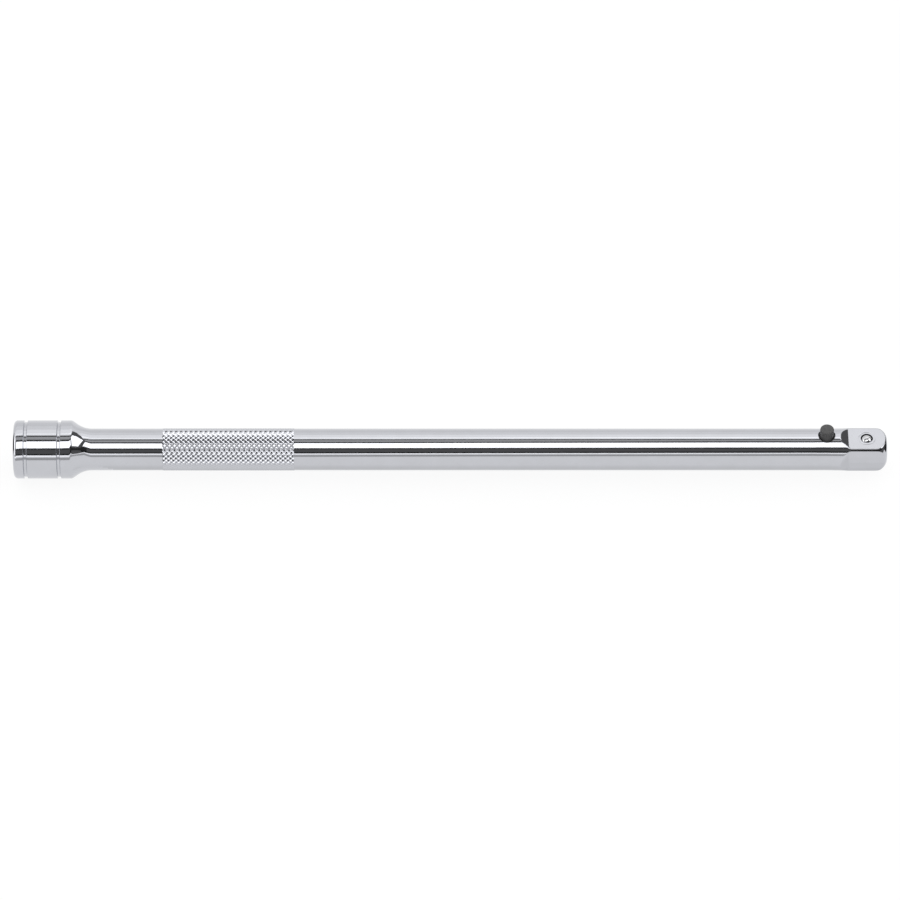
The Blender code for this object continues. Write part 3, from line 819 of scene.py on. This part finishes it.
# Button bush: a short turned ring, also in black oxide, pressed into the button's hole in the shank.
# It guides the button and stops its flange from coming out.
BUSH_HOLE_RADIUS = 0.0021
BUSH_RADIUS = 0.0025
BUSH_TOP = 0.0055
BUSH_FLOOR = 0.0043
BUSH_CHAMFER = 0.0001

button_bush = turned_upright("button_bush_finish", [
    (BUSH_RADIUS, BUSH_FLOOR),
    (BUSH_HOLE_RADIUS, BUSH_FLOOR),
    (BUSH_HOLE_RADIUS, BUSH_TOP - BUSH_CHAMFER),
    (BUSH_HOLE_RADIUS + BUSH_CHAMFER, BUSH_TOP),
    (BUSH_RADIUS - BUSH_CHAMFER, BUSH_TOP),
    (BUSH_RADIUS, BUSH_TOP - BUSH_CHAMFER),
], BUTTON_STEPS, BUTTON_STATION, closed=True)
button_bush.data.materials.append(black_oxide)
shade(button_bush)
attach(button_bush, "bar")
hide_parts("button_bush")

# Bore plug: a plain turned steel disc with a chamfered rim, pressed in just below the drive's tip.
# It closes the bore in front of the plunger.
PLUG_RADIUS = 0.0022
PLUG_END = 0.25375
PLUG_CHAMFER = 0.00025
PLUG_PRESS_GAP = 0.00003

bore_plug = turned_along("bore_plug_finish", [
    (PLUG_END, 0),
    (PLUG_END, PLUG_RADIUS / 2),
    (PLUG_END, PLUG_RADIUS - PLUG_CHAMFER),
    (PLUG_END - PLUG_CHAMFER, PLUG_RADIUS),
    (PLUG_START + PLUG_PRESS_GAP, PLUG_RADIUS),
    (PLUG_START + PLUG_PRESS_GAP, 0),
], PIN_STEPS)
bore_plug.data.materials.append(ground_steel)
shade(bore_plug)
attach(bore_plug, "bar")
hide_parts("bore_plug")

# Studio: a white paper floor under the bar and plain white light all round it. The floor keeps the bar's
# soft shadow. It glows only for the camera and in polished metal, so it adds no light of its own.
WHITE = (1, 1, 1, 1)
FLOOR_REACH = 4.0
FLOOR_HEIGHT = -0.00005
FLOOR_WHITE = 0.16
FLOOR_GLOW = 0.86
WORLD_LIGHT = 1


def staged(name, points, faces):
    """A mesh that belongs to the studio and not to the bar."""
    mesh = bpy.data.meshes.new(name)
    mesh.from_pydata(points, [], faces)
    piece = bpy.data.objects.new(name, mesh)
    bpy.context.scene.collection.objects.link(piece)
    return piece


floor_corners = [
    (-FLOOR_REACH, -FLOOR_REACH, FLOOR_HEIGHT),
    (FLOOR_REACH, -FLOOR_REACH, FLOOR_HEIGHT),
    (FLOOR_REACH, FLOOR_REACH, FLOOR_HEIGHT),
    (-FLOOR_REACH, FLOOR_REACH, FLOOR_HEIGHT),
]
floor = staged("floor", floor_corners, [range(len(floor_corners))])
floor_paper = bpy.data.materials.new("floor_paper")
floor_paper.use_nodes = True
tree = floor_paper.node_tree
shader = tree.nodes["Principled BSDF"]
shader.inputs["Base Color"].default_value = (FLOOR_WHITE, FLOOR_WHITE, FLOOR_WHITE, 1)
shader.inputs["Roughness"].default_value = 1
shader.inputs["Specular IOR Level"].default_value = 0
shader.inputs["Emission Color"].default_value = WHITE
path = tree.nodes.new("ShaderNodeLightPath")
seen = sum_of(tree, "MAXIMUM", path.outputs["Is Camera Ray"], path.outputs["Is Glossy Ray"])
seen = sum_of(tree, "MAXIMUM", seen, path.outputs["Is Transmission Ray"])
tree.links.new(sum_of(tree, "MULTIPLY", seen, FLOOR_GLOW), shader.inputs["Emission Strength"])
floor.data.materials.append(floor_paper)

world = bpy.data.worlds.new("studio")
bpy.context.scene.world = world
world.use_nodes = True
world.node_tree.nodes["Background"].inputs["Color"].default_value = WHITE
world.node_tree.nodes["Background"].inputs["Strength"].default_value = WORLD_LIGHT

# Light cards: softboxes, white cards and dark flags in a dark room, which only polished metal sees.
# Long strips of card curve round the bar a metre off, one card stands to its right, and the rest lie on
# the floor, beyond the bar's ends and under its front. The grey strips under its front are painted shadow:
# they show the floor's shade in the metal, darker nearer the bar.
BLACK = (0, 0, 0, 1)
ROOM_REACH = 3.2
ROOM_STEPS = 24
ROOM_TOP_GAP = 0.02
ROOM_GLOW = 0.115
CARD_DISTANCE = 1.0
CARD_ROWS = 7
CARD_COLUMNS = 31
SLANT_REACH = 0.4
SLANT = 21
STRIP_SLANT = 14
BACK_SLANT = 10
LEVEL = (0, 0)
FRONT_DROOP = 11
SOFTBOX_GLOW = 2.2
FLAG_RIM_GLOW = 0.05
FRONT_ENDS = (-3.0, 3.0)
WIDE_ENDS = (-0.9, 0.86)
WIDER_ENDS = (-1.5, 1.5)
FRONT_FLAG_SPLIT = 0.181
FLAG_LEFT = -0.72
SWEEP_LEFT = -2.2
RIGHT_CARD_PLACE = -0.106
RIGHT_CARD_CORNERS = [
    (0.58, 0.165, 1.04),
    (0.84, -0.12, 0.82),
    (1.01, -0.25, 0.60),
    (1.12, -0.12, 0.42),
    (0.95, 0.53, 0.43),
]
END_FLAG_FRONT = 0.002
END_FLAG_REACH = 2.6
# Painted shadow: grey strips on the floor under the bar's front, seen only in polished metal, darker nearer
# the bar.
UNDER_STEPS = 6
UNDER_EDGES = (-0.014, -0.004)
UNDER_SHADOW_GLOWS = (0.98, 0.80)
UNDER_STAGGER = 0.0015


def card(name, points, faces, brightness):
    """A card of even brightness that shows only in polished metal."""
    piece = staged(name, points, faces)
    material = bpy.data.materials.new(name)
    material.use_nodes = True
    shader = material.node_tree.nodes["Principled BSDF"]
    shader.inputs["Base Color"].default_value = BLACK
    shader.inputs["Specular IOR Level"].default_value = 0
    shader.inputs["Emission Color"].default_value = WHITE
    shader.inputs["Emission Strength"].default_value = brightness
    piece.data.materials.append(material)
    piece.visible_camera = False
    piece.visible_diffuse = False
    piece.visible_shadow = False
    piece.visible_transmission = False
    piece.visible_volume_scatter = False


def grid_faces(rows, columns):
    """The faces of a grid of points that are listed row by row."""
    faces = []
    for row in range(rows - 1):
        for column in range(columns - 1):
            corner = row * columns + column
            faces.append((corner, corner + 1, corner + columns + 1, corner + columns))
    return faces


def long_card(name, angles, ends, brightness, high_ends=None, slants=(SLANT, SLANT), droop=0):
    """A card curved round the bar's axis between two angles up from the front, with ends along the bar.

    Its high edge may have ends of its own. Both long edges slant: their angles grow along the bar by so
    many degrees a metre. Further out the card may droop by so many degrees a metre.
    """
    points = []
    for share in evenly(0, 1, CARD_ROWS):
        left, right = [between(low, high, share) for low, high in zip(ends, high_ends or ends)]
        for along in evenly(left, right, CARD_COLUMNS):
            lift = between(*slants, share) * min(max(along, -SLANT_REACH), SLANT_REACH)
            lift -= droop * max(abs(along) - SLANT_REACH, 0)
            turn = math.radians(between(*angles, share) + lift)
            across = -CARD_DISTANCE * math.cos(turn)
            points.append((along, across, AXIS_HEIGHT + CARD_DISTANCE * math.sin(turn)))
    card(name, points, grid_faces(CARD_ROWS, CARD_COLUMNS), brightness)


def end_flag(name, place, near, far, near_width, far_width, brightness):
    """A dark card on the floor beyond an end of the bar, which widens from near it to far from it."""
    points = [
        (place + near, END_FLAG_FRONT, 0),
        (place + far, END_FLAG_FRONT, 0),
        (place + far, far_width, 0),
        (place + near, near_width, 0),
    ]
    card(name, points, [range(len(points))], brightness)


room_points = []
for tilt in evenly(0, math.pi / 2 - ROOM_TOP_GAP, ROOM_STEPS):
    for turn in evenly(0, 2 * math.pi, 2 * ROOM_STEPS):
        out = ROOM_REACH * math.cos(tilt)
        room_points.append((out * math.cos(turn), out * math.sin(turn), ROOM_REACH * math.sin(tilt)))
card("dark_room", room_points, grid_faces(ROOM_STEPS, 2 * ROOM_STEPS), ROOM_GLOW)

long_card("front_sweep", angles=(-25, 8), ends=FRONT_ENDS, brightness=1.0, droop=FRONT_DROOP)
long_card("front_grey_strip", angles=(8, 18), ends=FRONT_ENDS, brightness=0.5, droop=FRONT_DROOP)
long_card("front_sweep_high", angles=(18, 22), ends=FRONT_ENDS, brightness=1.0, droop=FRONT_DROOP)
long_card("front_white_strip", angles=(22, 26), ends=FRONT_ENDS, brightness=1.6,
          slants=(SLANT, STRIP_SLANT), droop=FRONT_DROOP)
long_card("front_flag_low", angles=(27.8, 33), ends=WIDE_ENDS, brightness=0.015,
          slants=(STRIP_SLANT, SLANT))
long_card("front_flag", angles=(33, 49), ends=(-0.9, FRONT_FLAG_SPLIT), brightness=0.11)
long_card("front_flag_end", angles=(33, 49), ends=(FRONT_FLAG_SPLIT, 2.4), brightness=0.03)
long_card("front_flag_high", angles=(49, 54), ends=WIDE_ENDS, brightness=FLAG_RIM_GLOW)
long_card("overhead_softbox", angles=(56, 82.6), ends=(-0.38, 0.60), high_ends=(-0.30, 0.27),
          brightness=SOFTBOX_GLOW)
long_card("left_softbox_low", angles=(15, 52), ends=(SWEEP_LEFT, -0.95),
          brightness=SOFTBOX_GLOW, slants=LEVEL)
long_card("left_softbox", angles=(52, 80), ends=(SWEEP_LEFT, -0.8), high_ends=(SWEEP_LEFT, -0.7),
          brightness=SOFTBOX_GLOW, slants=LEVEL)
long_card("left_softbox_high", angles=(80, 104), ends=(SWEEP_LEFT, -0.76),
          brightness=SOFTBOX_GLOW, slants=LEVEL)
long_card("back_flag_low", angles=(85, 90), ends=(FLAG_LEFT, 0.24), high_ends=(FLAG_LEFT, 0.28),
          brightness=FLAG_RIM_GLOW)
long_card("back_flag", angles=(90, 100), ends=(FLAG_LEFT, 0.28), high_ends=(FLAG_LEFT, 0.36),
          brightness=0.5, slants=(SLANT, BACK_SLANT))
long_card("back_flag_high", angles=(100, 105), ends=(FLAG_LEFT, 0.36), high_ends=(FLAG_LEFT, 0.42),
          brightness=FLAG_RIM_GLOW, slants=(BACK_SLANT, BACK_SLANT))
long_card("back_gap", angles=(105, 110), ends=(FLAG_LEFT, 0.42), high_ends=(FLAG_LEFT, 0.48),
          brightness=1.0, slants=(BACK_SLANT, BACK_SLANT))
long_card("back_white_strip", angles=(110, 116), ends=(SWEEP_LEFT, 0.48), high_ends=(SWEEP_LEFT, 0.56),
          brightness=1.7, slants=(BACK_SLANT, SLANT))
long_card("back_sweep_high", angles=(116, 136), ends=(SWEEP_LEFT, 0.56), high_ends=(SWEEP_LEFT, 0.80),
          brightness=1.25)
long_card("back_sweep", angles=(136, 156), ends=(SWEEP_LEFT, 0.80), high_ends=(SWEEP_LEFT, 0.86),
          brightness=1.05)
long_card("back_sweep_low", angles=(156, 205), ends=WIDER_ENDS, brightness=0.95)
right_points = []
for along, across, up in RIGHT_CARD_CORNERS:
    right_points.append((RIGHT_CARD_PLACE + along, across, AXIS_HEIGHT + up))
card("right_card", right_points, [range(len(right_points))], SOFTBOX_GLOW)
end_flag("tip_flag", LENGTH / 2, near=0.025, far=END_FLAG_REACH, near_width=0.3, far_width=0.6,
         brightness=0.02)
end_flag("socket_flag", -LENGTH / 2, near=-0.02, far=-END_FLAG_REACH, near_width=0.015, far_width=1.7,
         brightness=0.06)
# Painted shadow in the metal's reflection: each strip is darker than the one before it, towards the bar.
under_edges = evenly(*UNDER_EDGES, UNDER_STEPS)
for index, brightness in enumerate(evenly(*UNDER_SHADOW_GLOWS, UNDER_STEPS - 1)):
    points = []
    start = NECK_END + UNDER_STAGGER * index - LENGTH / 2
    for across in under_edges[index:index + 2]:
        points += [(start, across, 0), (LENGTH / 2, across, 0)]
    card(f"painted_shadow_strip_{index}", points, grid_faces(2, 2), brightness)

# Camera: a long lens nearly two metres off, level along the bar and looking down on it from the front.
CAMERA_DISTANCE = 1.8
CAMERA_ELEVATION = math.radians(47.3)
CAMERA_AIM = (-0.0001, 0, AXIS_HEIGHT - 0.00024)
CAMERA_LENS = 247.1
CAMERA_SENSOR = 36
CAMERA_SIGHT = 20

lens = bpy.data.cameras.new("photo_camera")
lens.lens = CAMERA_LENS
lens.sensor_width = CAMERA_SENSOR
lens.clip_end = CAMERA_SIGHT
camera = bpy.data.objects.new("photo_camera", lens)
camera.location = (
    CAMERA_AIM[0],
    CAMERA_AIM[1] - CAMERA_DISTANCE * math.cos(CAMERA_ELEVATION),
    CAMERA_AIM[2] + CAMERA_DISTANCE * math.sin(CAMERA_ELEVATION),
)
camera.rotation_euler = (math.pi / 2 - CAMERA_ELEVATION, 0, 0)
bpy.context.scene.collection.objects.link(camera)
bpy.context.scene.camera = camera
bpy.context.scene.view_settings.view_transform = "Standard"
